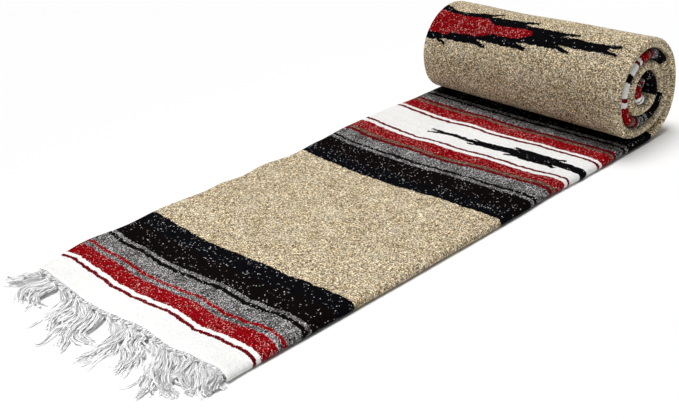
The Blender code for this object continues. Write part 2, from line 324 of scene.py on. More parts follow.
# Yarns: colour, fleck colour, share of light flecks, share of dark flecks, and how uneven the dye is
YARNS = (
    ("white", (0.865, 0.860, 0.842), (0.96, 0.95, 0.93), 0.00, 0.0, 0.08),
    ("red", (0.270, 0.003, 0.006), (1.0, 0.62, 0.58), 0.13, 0.20, 0.46),
    ("dark red", (0.150, 0.003, 0.007), (0.60, 0.18, 0.17), 0.05, 0.20, 0.40),
    ("grey", (0.118, 0.114, 0.117), (1.0, 1.0, 1.0), 0.34, 0.42, 1.0),
    ("grey brown", (0.140, 0.080, 0.056), (0.60, 0.44, 0.36), 0.24, 0.28, 0.75),
    ("brown black", (0.0040, 0.0025, 0.0023), (1.0, 1.0, 1.0), 0.034, 0.0, 0.50),
    ("blue black", (0.0026, 0.0028, 0.0040), (1.0, 1.0, 1.0), 0.038, 0.0, 0.50),
    ("tan", (0.645, 0.540, 0.358), (1.0, 0.95, 0.80), 0.32, 0.50, 0.86),
    ("motif black", (0.0030, 0.0030, 0.0040), (0.85, 0.85, 0.87), 0.012, 0.0, 0.50),
)
DARK_FLECK_TINT = (0.43, 0.37, 0.31, 1.0)
YARN = {row[0]: (number + 0.5) / len(YARNS) for number, row in enumerate(YARNS)}

# Stripes, in millimetres from the near hem, each with the yarn that starts there
NEAR_STRIPES = (
    (0, "white"), (29.9, "dark red"), (34.1, "white"), (39.6, "red"), (60.0, "grey"), (65.8, "red"),
    (70.1, "grey"), (90.0, "brown black"), (94.5, "grey"), (99.8, "brown black"), (129, "blue black"),
    (154.5, "tan"),
)
LOWER_STRIPES = (
    (378, "blue black"), (400, "brown black"), (431, "grey"), (437.1, "brown black"), (441.6, "grey"),
    (462, "dark red"), (468, "grey brown"), (474, "red"), (494.8, "white"), (501.0, "dark red"),
    (505.5, "white"),
)
UPPER_STRIPES = (
    (534, "white"), (559.9, "dark red"), (564.4, "white"), (569.6, "red"), (590, "grey brown"),
    (595.5, "dark red"), (601, "grey"), (616.8, "brown black"), (621.2, "grey"), (627.5, "brown black"),
    (655, "blue black"), (679, "tan"),
)
LOWER_START = 0.378
UPPER_START = 0.534
CHART_SPAN = 0.160

# The stripes come again inside the roll, closer together: distance along the panel,
# and the same place in the charts above
SECOND_SET = ((1.1259, 0.378), (1.1578, 0.461), (1.1863, 0.504), (1.2281, 0.560), (1.2777, 0.601),
              (1.3358, 0.679), (1.505, 0.690))
END_SET = ((1.505, 0.155), (1.5510, 0.0995), (1.5540, 0.070), (1.5760, 0.036), (1.584, 0.014))
CHART_END = 0.700

# Motifs, charted in millimetres from their middle outwards: distance along the weft, then half heights
# of the body, of the inner and outer sides of a barb, and of the red heart
WHITE_BAND_MOTIF = (
    (0, 12, 0, 0, 0), (12, 11.6, 0, 0, 0), (28, 11, 7.2, 12, 0), (29, 7, 7.2, 12.4, 0),
    (36, 7, 9.8, 13.4, 0), (38, 7, 0, 0, 0), (52, 7.4, 0, 0, 0), (70, 6.6, 0, 0, 0),
    (82, 6.6, 3.6, 7, 0), (83, 3.5, 3.6, 7.4, 0), (92, 3.5, 5.8, 8.6, 0), (94, 3.5, 0, 0, 0),
    (115, 3.6, 0, 0, 0), (130, 3.3, 0, 0, 0), (144, 4, 1.4, 5, 0), (146, 1.2, 1.4, 5.0, 0),
    (157, 0, 3.2, 6.4, 0), (159, 0, 0, 0, 0),
)
TAN_MOTIF_FRONT = (
    (0, 26.5, 0, 0, 16.5), (23, 26, 23.4, 27, 16.6), (24, 23.3, 23.4, 27, 16.8),
    (37, 23.3, 27.2, 31, 17.8), (39, 23.6, 0, 0, 14), (60, 23.6, 0, 0, 13.3),
    (87, 23.3, 17.8, 23.6, 12.8), (88, 17.5, 17.8, 23.6, 12.6), (105, 17.4, 22.8, 26.6, 7.7),
    (107, 17.6, 0, 0, 7.7), (140, 19.2, 0, 0, 7.6), (150, 19, 12.8, 19, 7.6),
    (151, 12.6, 12.8, 19, 7.5), (169, 11.6, 16.8, 20.4, 0), (171, 11.6, 0, 0, 0), (200, 11.8, 0, 0, 0),
    (212, 11.4, 6.4, 11.8, 0), (213, 6.2, 6.4, 11.8, 0), (232, 6, 11.4, 15, 0), (234, 6.2, 0, 0, 0),
    (260, 6.3, 0, 0, 0), (279, 5.8, 0.8, 5.8, 0), (281, 0.6, 0.8, 5.8, 0), (298, 0, 3.8, 7.2, 0),
    (299.5, 0, 0, 0, 0),
)
TAN_MOTIF_BACK = (
    (0, 28.5, 0, 0, 17.8), (10, 26.5, 0, 0, 16.5), (20, 21.8, 0, 0, 14.5), (30, 19.2, 0, 0, 13.2),
    (44, 18.6, 0, 0, 12.6), (60, 21.6, 0, 0, 13.4), (74, 23.4, 0, 0, 13.5),
    (86, 24.2, 19.6, 24.6, 13.8), (87, 19.4, 19.6, 24.6, 13.9), (103, 19, 24.8, 29, 6.3),
    (105, 19, 0, 0, 6.3), (130, 19, 0, 0, 6.5), (145, 20.2, 14, 20.4, 7), (146, 13.8, 14, 20.4, 7.2),
    (165, 12.6, 18.8, 23, 6), (167, 12.8, 0, 0, 0), (205, 13.2, 0, 0, 0), (211, 13, 7.6, 13.2, 0),
    (212, 7.4, 7.6, 13.2, 0), (232, 7, 10.8, 14.8, 0), (234, 7, 0, 0, 0), (260, 7.1, 0, 0, 0),
    (279, 6.8, 1.2, 6.9, 0), (281, 1, 1.2, 6.9, 0), (298, 0, 4.8, 8.8, 0), (299.5, 0, 0, 0, 0),
)
MOTIF_SPAN = 300.0
MOTIF_TALLEST = 40.0
MOTIF_RAGGED = 2.4
WHITE_MOTIF_ACROSS = 0.252
WHITE_MOTIF_ALONG = 0.5308
FOLD_ACROSS = 0.6415
TAN_MOTIF_ALONG = 0.888
TAN_MOTIF_DRIFT = -0.0224
FIRST_TAN_MOTIF_ALONG = 0.2665


def new_node(tree, kind, *values, named=None, **settings):
    """A node with its settings made, and its inputs set or linked: in order, or by name or number."""
    made = tree.nodes.new(kind)
    for name, value in settings.items():
        setattr(made, name, value)
    for socket, value in (*enumerate(values), *(named or {}).items()):
        if isinstance(value, bpy.types.NodeSocket):
            tree.links.new(value, made.inputs[socket])
        elif value is not None:
            made.inputs[socket].default_value = value
    return made


def reckon(tree, operation, *values):
    """The result of one Math node."""
    return new_node(tree, "ShaderNodeMath", *values, operation=operation).outputs[0]


def choose(tree, share, first, second):
    """The first number where share is 0, and the second where it is 1."""
    return new_node(tree, "ShaderNodeMix", share, None, first, second).outputs[0]


def mix_colours(tree, share, first, second, kind="MIX"):
    """The first colour where share is 0, and where it is 1 the second, mixed in as its kind says."""
    return new_node(tree, "ShaderNodeMix", share, named={6: first, 7: second}, data_type="RGBA",
                    blend_type=kind).outputs[2]


def charted_ramp(tree, place, rows, interpolation):
    """A ramp from charted rows, each a place from 0 to 1 and the four numbers that hold there."""
    made = new_node(tree, "ShaderNodeValToRGB", place)
    ramp = made.color_ramp
    ramp.interpolation = interpolation
    ramp.elements.remove(ramp.elements[-1])
    for number, (position, value) in enumerate(rows):
        stop = ramp.elements.new(position) if number else ramp.elements[0]
        stop.position = position
        stop.color = value
    return made


def stripe_chart(tree, along, start, stripes):
    """The number of the yarn at a place along a set of stripes."""
    place = reckon(tree, "DIVIDE", reckon(tree, "SUBTRACT", along, start), CHART_SPAN)
    rows = [((at * MM - start) / CHART_SPAN, (YARN[yarn],) * 3 + (1.0,)) for at, yarn in stripes]
    return charted_ramp(tree, place, rows, "CONSTANT").outputs["Color"]


def panel_map(tree, along, rows):
    """The place in the stripe charts that a stretch inside the roll repeats."""
    first, last = rows[0][0], rows[-1][0]
    share = reckon(tree, "DIVIDE", reckon(tree, "SUBTRACT", along, first), last - first)
    stops = [((at - first) / (last - first), (place / CHART_END,) * 3 + (1.0,)) for at, place in rows]
    ramp = charted_ramp(tree, share, stops, "LINEAR")
    return reckon(tree, "MULTIPLY", ramp.outputs["Color"], CHART_END)


def motif_masks(tree, distance, height, rows):
    """Where a charted motif is dark, and where its red heart lies, at a distance and half height."""
    place = reckon(tree, "DIVIDE", distance, MOTIF_SPAN)
    stops = [(row[0] / MOTIF_SPAN, tuple(value / MOTIF_TALLEST for value in row[1:])) for row in rows]
    ramp = charted_ramp(tree, place, stops, "LINEAR")
    parts = new_node(tree, "ShaderNodeSeparateColor", ramp.outputs["Color"])
    tall = reckon(tree, "DIVIDE", height, MOTIF_TALLEST)
    body = reckon(tree, "LESS_THAN", tall, parts.outputs[0])
    barb = reckon(tree, "MULTIPLY", reckon(tree, "GREATER_THAN", tall, parts.outputs[1]),
                  reckon(tree, "LESS_THAN", tall, parts.outputs[2]))
    dark = reckon(tree, "MAXIMUM", body, barb)
    return dark, reckon(tree, "LESS_THAN", tall, ramp.outputs["Alpha"])


def charted_yarn(tree, across, charted, ragged):
    """The number of the yarn that the stripes and motifs call for at a place on the panel."""
    # Inside the roll the stripes come again, closer together
    in_second = reckon(tree, "GREATER_THAN", charted, SECOND_SET[0][0])
    in_end = reckon(tree, "GREATER_THAN", charted, END_SET[0][0])
    place = choose(tree, in_second, charted, panel_map(tree, charted, SECOND_SET))
    place = choose(tree, in_end, place, panel_map(tree, charted, END_SET))
    yarn = stripe_chart(tree, place, 0.0, NEAR_STRIPES)
    for start, stripes in ((LOWER_START, LOWER_STRIPES), (UPPER_START, UPPER_STRIPES)):
        reached = reckon(tree, "GREATER_THAN", place, start)
        yarn = choose(tree, reached, yarn, stripe_chart(tree, place, start, stripes))

    # Motif in the white band, near each selvedge
    mirrored = reckon(tree, "MINIMUM", across, reckon(tree, "SUBTRACT", PANEL_WIDTH, across))
    distance = reckon(tree, "ABSOLUTE", reckon(tree, "SUBTRACT", mirrored, WHITE_MOTIF_ACROSS))
    distance = reckon(tree, "ADD", reckon(tree, "DIVIDE", distance, MM), ragged)
    height = reckon(tree, "DIVIDE", reckon(tree, "SUBTRACT", place, WHITE_MOTIF_ALONG), MM)
    dark, _ = motif_masks(tree, distance, reckon(tree, "ABSOLUTE", height), WHITE_BAND_MOTIF)
    yarn = choose(tree, dark, yarn, YARN["motif black"])

    # Motif in the middle of each tan band, with a red heart
    distance = reckon(tree, "ABSOLUTE", reckon(tree, "SUBTRACT", across, FOLD_ACROSS))
    first_band = reckon(tree, "LESS_THAN", place, LOWER_START)
    middle = choose(tree, first_band, TAN_MOTIF_ALONG, FIRST_TAN_MOTIF_ALONG)
    middle = reckon(tree, "MULTIPLY_ADD", distance, TAN_MOTIF_DRIFT, middle)
    height = reckon(tree, "DIVIDE", reckon(tree, "SUBTRACT", place, middle), MM)
    distance = reckon(tree, "ADD", reckon(tree, "DIVIDE", distance, MM), ragged)
    tall = reckon(tree, "ABSOLUTE", height)
    front_dark, front_heart = motif_masks(tree, distance, tall, TAN_MOTIF_FRONT)
    back_dark, back_heart = motif_masks(tree, distance, tall, TAN_MOTIF_BACK)
    is_back = reckon(tree, "LESS_THAN", height, 0.0)
    yarn = choose(tree, choose(tree, is_back, front_dark, back_dark), yarn, YARN["motif black"])
    return choose(tree, choose(tree, is_back, front_heart, back_heart), yarn, YARN["red"])


def yarn_trait(tree, yarn, traits):
    """Three numbers that belong to a yarn, looked up by the yarn's number."""
    rows = [(number / len(YARNS), (*trait, 1.0)) for number, trait in enumerate(traits)]
    return charted_ramp(tree, yarn, rows, "CONSTANT").outputs["Color"]


def random_values(tree, first, second, seed):
    """Three random numbers for a cell of the weave."""
    cell = new_node(tree, "ShaderNodeCombineXYZ", first, second, seed)
    noise = new_node(tree, "ShaderNodeTexWhiteNoise", cell.outputs[0])
    return new_node(tree, "ShaderNodeSeparateColor", noise.outputs["Color"]).outputs


def centred(tree, value):
    """A number from 0 to 1, shifted so that it lies about 0."""
    return reckon(tree, "SUBTRACT", value, 0.5)


def slow_noise(tree, across, along, across_scale, along_scale, seed):
    """Smooth noise about 0, with its own scale across and along the panel."""
    spot = new_node(tree, "ShaderNodeCombineXYZ", reckon(tree, "MULTIPLY", across, across_scale),
                    reckon(tree, "MULTIPLY", along, along_scale), seed)
    noise = new_node(tree, "ShaderNodeTexNoise",
                     named={"Vector": spot.outputs[0], "Scale": 1.0, "Detail": 2.0})
    return centred(tree, noise.outputs["Fac"])


def off_middle(tree, place):
    """How far a place lies from the middle of its cell of the weave, from 0 to 0.5."""
    return reckon(tree, "ABSOLUTE", centred(tree, reckon(tree, "FRACT", place)))


def rounded(tree, off, power):
    """Height of a rounded float: 1 at the middle of its cell and 0 at the edge."""
    return reckon(tree, "SUBTRACT", 1.0, reckon(tree, "POWER", reckon(tree, "MULTIPLY", off, 2.0), power))


def new_material(name, finish):
    """A material, with the inputs of its shader that are the same all over set by name."""
    material = bpy.data.materials.new(name)
    material.use_nodes = True
    shader = material.node_tree.nodes["Principled BSDF"]
    for socket, value in finish.items():
        shader.inputs[socket].default_value = value
    return material, material.node_tree, shader


def woven_cloth():
    """Striped weft-faced cloth with charted motifs, flecked yarns and a weave of short floats."""
    material, tree, shader = new_material("striped_weave", {
        "Roughness": 0.93, "Specular IOR Level": 0.02})
    weave_map = new_node(tree, "ShaderNodeUVMap", uv_map="weave")
    parts = new_node(tree, "ShaderNodeSeparateXYZ", weave_map.outputs[0])
    across, along = parts.outputs[0], parts.outputs[1]

    # Which float of weft lies here, and its place along the panel
    wobble = slow_noise(tree, across, along, *WOBBLE_NOISE)
    teeth = slow_noise(tree, across, along, *TEETH_NOISE)
    along = reckon(tree, "MULTIPLY_ADD", wobble, WEFT_WOBBLE, along)
    along = reckon(tree, "MULTIPLY_ADD", teeth, EDGE_TEETH, along)
    warp_place = reckon(tree, "DIVIDE", across, WARP_PITCH)
    warp = reckon(tree, "FLOOR", warp_place)
    set_over = reckon(tree, "MULTIPLY", reckon(tree, "MODULO", warp, 2.0), 0.5)
    weft_place = reckon(tree, "ADD", reckon(tree, "DIVIDE", along, WEFT_PITCH), set_over)
    weft = reckon(tree, "FLOOR", weft_place)
    weft_middle = reckon(tree, "SUBTRACT", reckon(tree, "ADD", weft, 0.5), set_over)
    charted = reckon(tree, "MULTIPLY", weft_middle, WEFT_PITCH)
    float_random = random_values(tree, warp, weft, 1.0)
    fleck_random = random_values(tree, warp, weft, 2.0)
    pick = reckon(tree, "SUBTRACT", reckon(tree, "MULTIPLY", weft, 2.0),
                  reckon(tree, "MULTIPLY", set_over, 2.0))
    pick_random = random_values(tree, pick, 0.0, 3.0)

    # The yarn that is charted here, and its colour, uneven along and across
    ragged = reckon(tree, "MULTIPLY", centred(tree, pick_random[0]), MOTIF_RAGGED)
    yarn = charted_yarn(tree, across, charted, ragged)
    colour = yarn_trait(tree, yarn, [row[1] for row in YARNS])
    fleck = yarn_trait(tree, yarn, [row[2] for row in YARNS])
    habits = yarn_trait(tree, yarn, [row[3:] for row in YARNS])
    light_share, dark_share, uneven = new_node(tree, "ShaderNodeSeparateColor", habits).outputs
    float_tone = reckon(tree, "MULTIPLY", centred(tree, float_random[0]), 2.0)
    dye_and_shade_tone = reckon(tree, "MULTIPLY_ADD", float_tone, uneven, 1.0)
    pick_tone = reckon(tree, "MULTIPLY_ADD", centred(tree, pick_random[1]), PICK_TONE, 1.0)
    batch = slow_noise(tree, across, along, *BATCH_NOISE)
    batch_tone = reckon(tree, "MULTIPLY_ADD", batch, BATCH_TONE, 1.0)
    dye_and_shade_tone = reckon(tree, "MULTIPLY", reckon(tree, "MULTIPLY", dye_and_shade_tone, pick_tone), batch_tone)

    # A float is a short rounded bar, highest in its middle, with a pit at each end; its colour is painted
    # darker in the pits as shade and lighter over its back as light
    beside_warp = off_middle(tree, warp_place)
    bulge = reckon(tree, "MULTIPLY", rounded(tree, beside_warp, END_BLUNTNESS),
                   rounded(tree, off_middle(tree, weft_place), BACK_ROUNDNESS))
    # Painted shade and light: the dye's colour is darkened in each float's pits and lightened over its
    # back
    dye_and_shade_tone = reckon(tree, "MULTIPLY", dye_and_shade_tone, reckon(tree, "MULTIPLY_ADD", bulge, PAINTED_BACK_LIGHT, PAINTED_PIT_SHADE))
    dye_with_painted_shade = new_node(tree, "ShaderNodeVectorMath", colour, named={"Scale": dye_and_shade_tone}, operation="SCALE")

    # Light and dark flecks are spun in: the light ones gather in places and differ in length and strength
    gather = slow_noise(tree, across, along, *GATHER_NOISE)
    gathered = reckon(tree, "MULTIPLY_ADD", gather, FLECK_GATHERING, 1.0)
    light_share = reckon(tree, "MULTIPLY", light_share, reckon(tree, "MAXIMUM", gathered, FEWEST_FLECKS))
    is_light = reckon(tree, "LESS_THAN", fleck_random[0], light_share)
    is_dark = reckon(tree, "LESS_THAN", fleck_random[1], dark_share)
    fleck_reach = reckon(tree, "MULTIPLY_ADD", fleck_random[2], FLECK_REACH_RANGE, FLECK_REACH)
    fleck_spot = reckon(tree, "LESS_THAN", beside_warp, fleck_reach)
    fleck_strength = reckon(tree, "MULTIPLY_ADD", reckon(tree, "POWER", float_random[1], FLECK_FAINTNESS),
                            FLECK_STRENGTH_RANGE, FLECK_STRENGTH)
    is_light = reckon(tree, "MULTIPLY", reckon(tree, "MULTIPLY", is_light, fleck_spot), fleck_strength)
    darkened = mix_colours(tree, is_dark, dye_with_painted_shade.outputs[0], DARK_FLECK_TINT, "MULTIPLY")
    tree.links.new(mix_colours(tree, is_light, darkened, fleck), shader.inputs["Base Color"])
    relief = reckon(tree, "MULTIPLY_ADD", float_random[2], FLOAT_RELIEF, bulge)
    bump = new_node(tree, "ShaderNodeBump", named={"Strength": 0.7, "Distance": 0.0004, "Height": relief})
    tree.links.new(bump.outputs[0], shader.inputs["Normal"])
    return material


striped_weave = woven_cloth()
laid_cloth.data.materials.append(striped_weave)
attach(laid_cloth, root)
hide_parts("serape_laid")


# Rolled stretch
# The rest of the same panel, still folded in four, wound up from its far hem in nearly four turns.
# It stands on its own first turn, and nothing ties it.
ROLL_Y = LAID_LENGTH / 2
ROLL_RADIUS = 0.0685
ROLL_PITCH = 0.0132
ROLL_END = math.radians(1420.0)
ROLL_WIDENING = 1.045
ROLL_SQUARENESS = 2.4
ROLL_LOFT = 0.13
LOFT_TURN = math.radians(70.0)
ROLL_LUMP = 0.0011
LUMP_WAVES = ((0.24, math.pi, 0.5), (-0.33, math.tau / 3, 2.6), (0.15, math.tau, 4.1))

# Stations across the four layers, in the same order, and the steps along the outer and inner turns
ROLLED_COUNTS = (14, 96, 10, 12)
OUTER_TURN_STEP = 0.0032
INNER_TURN_STEP = 0.0048
FAR_HEM_CLEAR = 0.02


def spiral_radius(turned):
    """Radius of the winding's outer face, before the roll is shaped."""
    return ROLL_RADIUS - ROLL_PITCH * turned / math.tau


def roll_points(x, height, turned):
    """Points of the wound cloth: height above its own underside, turned from the floor."""
    taper = 1.0 + ROLL_TAPER * x
    loft = 1.0 + ROLL_LOFT * min(turned / LOFT_TURN, 1.0)
    sine, cosine = math.sin(turned), math.cos(turned)
    lump = smooth_waves(x, turned % math.tau, LUMP_WAVES)
    radius = (spiral_radius(turned) - height * loft) * taper
    radius = radius + ROLL_LUMP * lump * (1.0 - cosine) / 2
    if cosine > 0.0:
        squared = abs(sine) ** ROLL_SQUARENESS + cosine ** ROLL_SQUARENESS
        radius = radius / squared ** (1.0 / ROLL_SQUARENESS)
    y = ROLL_Y + ROLL_SKEW * x + radius * ROLL_WIDENING * sine
    return np.stack(np.broadcast_arrays(x, y, ROLL_RADIUS * taper - radius * cosine), -1)


def roll_length(turned):
    """Length of the cloth's middle line from the start of the roll."""
    return (ROLL_RADIUS - PACK / 2) * turned - ROLL_PITCH * turned * turned / (2.0 * math.tau)


turns = [0.0]
while turns[-1] < ROLL_END:
    step = OUTER_TURN_STEP if turns[-1] < math.tau else INNER_TURN_STEP
    turns.append(turns[-1] + step / spiral_radius(turns[-1]))
hem_turns = [ROLL_END - distance / spiral_radius(ROLL_END) for distance, _ in reversed(HEM_ROUND)]
turns = [turned for turned in turns if turned < hem_turns[0] - FAR_HEM_CLEAR] + hem_turns
rolled_alongs = np.array([LAID_LENGTH + roll_length(turned) for turned in turns])
rolled_rings = []
for turned, along in zip(turns, rolled_alongs):
    path = cloth_path(edge_shifts(along), ROLLED_COUNTS)
    rolled_rings.append(thickness_rings(
        path, hem_share(PANEL_LENGTH - along), lambda x, height: roll_points(x, height, turned)))
rolled_cloth = cloth_object("serape_rolled_cloth", np.array(rolled_rings), across_of(ROLLED_COUNTS),
                            rolled_alongs)
rolled_cloth.data.materials.append(striped_weave)
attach(rolled_cloth, root)
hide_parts("serape_rolled")


# Near fringe
# The ends of the cotton warp, two-ply and loosely twisted, left long past the hem.
# They are gathered in locks, and each lock is held by an overhand knot close to the cloth.
YARN_RADIUS = 0.00125
YARN_TWIST = 0.0320
YARN_STEP = 0.0024
YARNS_PER_LOCK = 17
FRINGE_SEED = 5

# A yarn's two plies: their radius and their swing from the yarn's middle, in yarn radii,
# and how they open and thin towards the cut tip
PLIES = 2
PLY_SIDES = 4
PLY_RADIUS = 0.70
PLY_SWING = 0.42
TIP_OPENING = 0.35
TIP_OPENING_POWER = 7.0
TIP_THINNING = 0.25
TIP_THINNING_POWER = 5.0

# Knots: distance from the hem, scatter and lift in millimetres; the height of a knot's middle and the
# half width and height of the yarns through it, in knot radii; then the loops of yarn round it
KNOT_RADIUS = 0.0036
KNOT_DISTANCES = (4.0, 7.0)
KNOT_SCATTER = 2.0
KNOT_LIFT = 1.6
KNOT_SEAT = 1.2
WAIST_WIDTH = 0.7
WAIST_HEIGHT = 0.6
KNOT_WRAPS = 2
WRAP_WIDTH = 1.05
WRAP_HEIGHT = 0.95
WRAP_STEPS = 26
WRAP_TURNS = 1.3
WRAP_LEAD = 0.9
WRAP_SPACING = 2.0
WRAP_SLANT = 1.6

# Locks from the left: length in millimetres, then headings in degrees round from straight out,
# where the lock sets off, halfway along it and at its tip
LOCKS = (
    (48, -15, -55, -80), (54, -12, 8, 90), (54, -24, 35, 78), (80, 66, 46, 12), (64, 50, 22, 50),
    (68, 64, 34, 4), (78, 40, 22, 34), (62, 4, 45, 92), (90, 84, 14, -4), (58, 46, 36, 16),
    (78, 64, 38, 24), (60, 16, 58, 28), (96, 76, 38, 12), (80, 34, 66, 62), (68, 76, 22, 60),
    (52, 24, 72, 16), (45, 78, 46, 74), (33, 58, 28, 60),
)
LOCK_STEPS = 28
LOCK_HALF_WIDTH = 0.0074
LOCK_HALF_HEIGHT = 0.0015
LOCK_SWAY = (0.15, 0.48)
SWAY_TURNS = 1.4
LOCK_RISE = (0.5, 6.0)
RISE_START = 0.15
LOCK_COIL = 0.4

# How full a lock is at its knot, how much fuller halfway, and how it narrows and flattens to its tip
KNOT_FULLNESS = 0.72
MIDDLE_FULLNESS = 0.55
TIP_NARROWING = 0.72
TIP_FLATTENING = 0.55

# Yarns in a lock: how they start in the hem, stray from the lock, are cut, ripple and come to the floor
ROOT_INSIDE = 0.002
ROOT_OUTSIDE = 0.001
ROOT_DROP = 0.84
ROOT_CLEARANCE = 1.25
ROOT_ARCH = 0.0010
YARN_JOSTLE = 0.02
AROUND_JOSTLE = 0.3
INNERMOST = 0.30
STRAY = 0.06
LOOSE_SHARE = 0.20
LOOSE_STRAY = 0.45
CUT_SHARES = (0.70, 1.08)
RIPPLE = 0.0009
RIPPLE_RATE = 11.0
SETTLE_LENGTH = 0.013
FLOOR_CLEARANCE = 1.32
TIP_CURL = 0.5
TIP_CURL_POWER = 7


def lock_line(rng, place, headings, length):
    """Middle line of a lock over the floor, with its heading at each step."""
    rows = list(zip((0.0, 0.5, 1.0), (math.radians(heading) for heading in headings)))
    sway = rng.uniform(*LOCK_SWAY)
    phase = rng.uniform(0, math.tau)
    line = []
    for step in range(LOCK_STEPS + 1):
        part = step / LOCK_STEPS
        heading = float(eased(rows, 1, part)) + sway * math.sin(SWAY_TURNS * math.tau * part + phase)
        line.append((*place, heading))
        place = place + np.array([math.sin(heading), -math.cos(heading)]) * length / LOCK_STEPS
    return np.array(line)


def yarn_root(x, height, waist):
    """Points of a yarn from inside the hem to the middle of its knot."""
    lowest = YARN_RADIUS * ROOT_CLEARANCE
    start = laid_points(x, max(height, lowest), ROOT_INSIDE)
    edge = laid_points(x, max(height * ROOT_DROP, lowest), -ROOT_OUTSIDE)
    points = [start, edge]
    for part in (0.35, 0.7, 1.0):
        points.append(edge + (waist - edge) * part + [0, 0, ROOT_ARCH * math.sin(math.pi * part)])
    return points


def knot_wraps(knot_x, knot_y, knot_height):
    """Loops of yarn round a knot."""
    wraps = []
    for wrap in range(KNOT_WRAPS):
        points = []
        for step in range(WRAP_STEPS + 1):
            angle = wrap * WRAP_LEAD + WRAP_TURNS * math.tau * step / WRAP_STEPS
            slant = WRAP_SLANT * MM * (step / WRAP_STEPS - 0.5)
            points.append(np.array([
                knot_x + KNOT_RADIUS * WRAP_WIDTH * math.cos(angle),
                knot_y + (wrap - 0.5) * WRAP_SPACING * MM - slant,
                knot_height + KNOT_RADIUS * WRAP_HEIGHT * math.sin(angle)]))
        wraps.append(points)
    return wraps


def near_fringe_guides(rng):
    """Middle lines of the fringe yarns: out of the hem, through a knot, then in a loose lock."""
    left = LEFT + edge_shifts(0.0)[0]
    right = RIGHT + edge_shifts(0.0)[3] - OUTER_FOLD_REACH
    lane = (right - left) / len(LOCKS)
    guides = []
    for number, (length, *headings) in enumerate(LOCKS):
        knot_x = left + lane * (number + 0.5) + rng.uniform(-KNOT_SCATTER, KNOT_SCATTER) * MM
        knot_distance = rng.uniform(*KNOT_DISTANCES) * MM
        knot = laid_points(knot_x, 0.0, -knot_distance)
        knot_height = KNOT_RADIUS * KNOT_SEAT + YARN_RADIUS + rng.uniform(0, KNOT_LIFT) * MM
        reach = length * MM - knot_distance
        line = lock_line(rng, knot[:2], headings, reach)
        rise = rng.uniform(*LOCK_RISE) * MM
        coil = rng.uniform(-LOCK_COIL, LOCK_COIL) * math.tau
        for yarn in range(YARNS_PER_LOCK):
            share = (yarn + 0.5) / YARNS_PER_LOCK + rng.uniform(-YARN_JOSTLE, YARN_JOSTLE)
            around = math.tau * yarn / YARNS_PER_LOCK + rng.uniform(-AROUND_JOSTLE, AROUND_JOSTLE)
            inside = rng.uniform(INNERMOST, 1.0)
            waist = np.array([
                knot_x + KNOT_RADIUS * WAIST_WIDTH * inside * math.cos(around), knot[1],
                knot_height + KNOT_RADIUS * WAIST_HEIGHT * inside * math.sin(around)])
            points = yarn_root(left + lane * (number + share), LAYER_HEIGHTS[yarn % 4], waist)
            stray = rng.gauss(0, STRAY)
            if rng.random() < LOOSE_SHARE:
                stray += rng.uniform(-LOOSE_STRAY, LOOSE_STRAY)
            last_step = round(LOCK_STEPS * min(rng.uniform(*CUT_SHARES), 1.0))
            ripple = rng.uniform(0.0, RIPPLE)
            ripple_phase = rng.uniform(0, math.tau)
            for step in range(1, last_step + 1):
                part = step / LOCK_STEPS
                heading = line[step, 2]
                turned = around + coil * part
                fullness = KNOT_FULLNESS + MIDDLE_FULLNESS * math.sin(math.pi * part)
                width = LOCK_HALF_WIDTH * inside * fullness * (1.0 - TIP_NARROWING * part ** 2)
                offset = width * math.cos(turned) + stray * reach * part * part
                offset += ripple * math.sin(RIPPLE_RATE * part + ripple_phase)
                settle = math.exp(-(part * reach / SETTLE_LENGTH) ** 2)
                floor = YARN_RADIUS * (FLOOR_CLEARANCE + TIP_CURL * part ** TIP_CURL_POWER)
                flatness = 1.0 - TIP_FLATTENING * part
                lift = LOCK_HALF_HEIGHT * inside * (1.0 + math.sin(turned)) * flatness
                lift += rise * math.sin(math.pi * min(part + RISE_START, 1.0))
                points.append(np.array([
                    line[step, 0] + math.cos(heading) * offset,
                    line[step, 1] + math.sin(heading) * offset,
                    floor + lift + (waist[2] - floor - lift) * settle]))
            guides.append(points)
        guides += knot_wraps(knot_x, knot[1], knot_height)
    return guides


def guide_object(name, guides):
    """Polylines for the yarn tree, each point marked with how far along its yarn it lies."""
    points = []
    edges = []
    reaches = []
    for guide in guides:
        first = len(points)
        points += [tuple(point) for point in guide]
        edges += [(first + step, first + step + 1) for step in range(len(guide) - 1)]
        reaches += [step / (len(guide) - 1) for step in range(len(guide))]
    mesh = bpy.data.meshes.new(name)
    mesh.from_pydata(points, edges, [])
    mesh.attributes.new("reach", "FLOAT", "POINT").data.foreach_set("value", reaches)
    return new_object(name, mesh)


